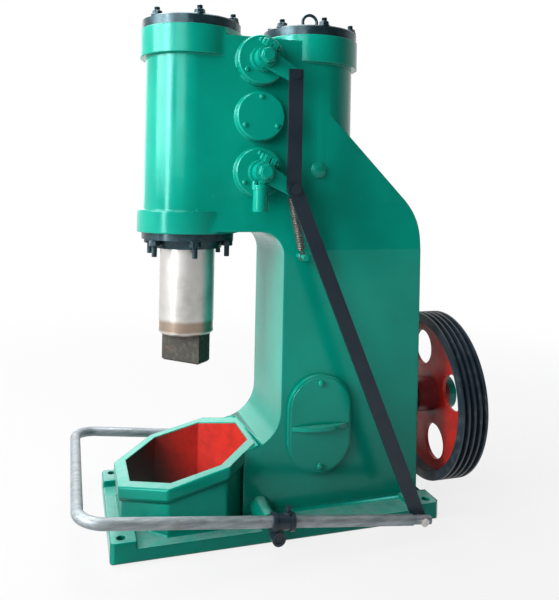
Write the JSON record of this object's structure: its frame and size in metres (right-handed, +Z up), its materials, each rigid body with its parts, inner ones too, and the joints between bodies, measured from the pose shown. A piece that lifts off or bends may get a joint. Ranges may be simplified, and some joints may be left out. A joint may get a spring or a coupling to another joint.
{
  "type": "air forging hammer",
  "caption": "Self-contained air forging hammer: green C-shaped casting with ram and pump cylinders, sliding ram and die, valve levers, foot treadle, anvil well and V-belt pulley.",
  "frame": {"origin": "middle of the four foundation bolts on the underside of the base", "axes": "+Z up, -Y the ram end that faces the smith, +X the side with the valve levers"},
  "size_m": [0.638, 1.1218, 1.4055],
  "materials": {
    "green_paint": "gloss enamel on cast iron",
    "black_paint": "satin black paint",
    "red_paint": "red paint, black rim",
    "bright_steel": "machined, lightly oiled",
    "die_steel": "dark forged scale",
    "spring_steel": "dark oiled wire",
    "bar_steel": "bare bar with brown stains"
  },
  "bodies": {
    "frame": {"base_casting": "green_paint", "frame_casting": "green_paint", "ram_cylinder_cover": "black_paint", "pump_cylinder_cover": "black_paint", "lifting_ring": "black_paint", "gland_cover": "black_paint", "upper_valve_cover": "green_paint", "middle_cover": "green_paint", "lower_valve_cover": "green_paint", "return_spring": "spring_steel", "spring_stud": "green_paint", "wall_plug": "green_paint", "crank_cover_upper": "green_paint", "crank_cover_lower": "green_paint", "pivot_pin_right": "black_paint", "pivot_pin_left": "black_paint", "bearing_cover": "green_paint"},
    "ram": {"ram": "bright_steel", "upper_die": "die_steel"},
    "pulley": {"pulley": "red_paint", "crankshaft": "bright_steel", "pulley_nut": "green_paint"},
    "treadle": {"treadle_bar": "bar_steel", "treadle_clamp_right": "black_paint", "treadle_clamp_left": "black_paint", "clamp_screw_right": "black_paint", "clamp_screw_left": "black_paint", "treadle_link_bolt": "bright_steel"},
    "lower_lever": {"lower_lever": "green_paint", "hand_socket": "green_paint", "lower_spindle": "green_paint", "lower_link_pin": "black_paint"},
    "upper_lever": {"upper_lever": "green_paint", "upper_spindle": "green_paint", "upper_link_pin": "black_paint"},
    "valve_link": {"valve_link": "black_paint"},
    "treadle_link": {"treadle_link": "black_paint"}
  },
  "joints": [
    {"name": "ram_slide", "type": "slide", "parent": "frame", "child": "ram", "axis": [0, 0, 1], "range_m": [0, 0.222]},
    {"name": "pulley_spin", "type": "hinge", "parent": "frame", "child": "pulley", "pos_m": [0, 0.41, 0.275], "axis": [0, 1, 0], "continuous": true},
    {"name": "treadle_pivot", "type": "hinge", "parent": "frame", "child": "treadle", "pos_m": [0, -0.051, 0.056], "axis": [1, 0, 0], "range_deg": [0, 6], "stiffness_Nm_per_rad": 150, "springref_deg": -20.05, "deforming": ["return_spring"]},
    {"name": "lower_lever_turn", "type": "hinge", "parent": "frame", "child": "lower_lever", "pos_m": [0, -0.073, 0.937], "axis": [1, 0, 0], "range_deg": [-1, 32.32]},
    {"name": "upper_lever_turn", "type": "hinge", "parent": "frame", "child": "upper_lever", "pos_m": [0, -0.073, 1.231], "axis": [1, 0, 0], "range_deg": [-1, 32.32]},
    {"name": "valve_link_swing", "type": "hinge", "parent": "lower_lever", "child": "valve_link", "pos_m": [0, 0.00484, 0.89385], "axis": [1, 0, 0], "range_deg": [-32.32, 1]},
    {"name": "treadle_link_swing", "type": "hinge", "parent": "treadle", "child": "treadle_link", "pos_m": [0, 0.34, 0.04728], "axis": [1, 0, 0], "range_deg": [-7.96, 1]}
  ],
  "couplings": [
    {"joint": "lower_lever_turn", "follows": "treadle_pivot", "ratio": 5.22},
    {"joint": "upper_lever_turn", "follows": "treadle_pivot", "ratio": 5.22},
    {"joint": "valve_link_swing", "follows": "treadle_pivot", "ratio": -5.22},
    {"joint": "treadle_link_swing", "follows": "treadle_pivot", "ratio": -1.16}
  ]
}
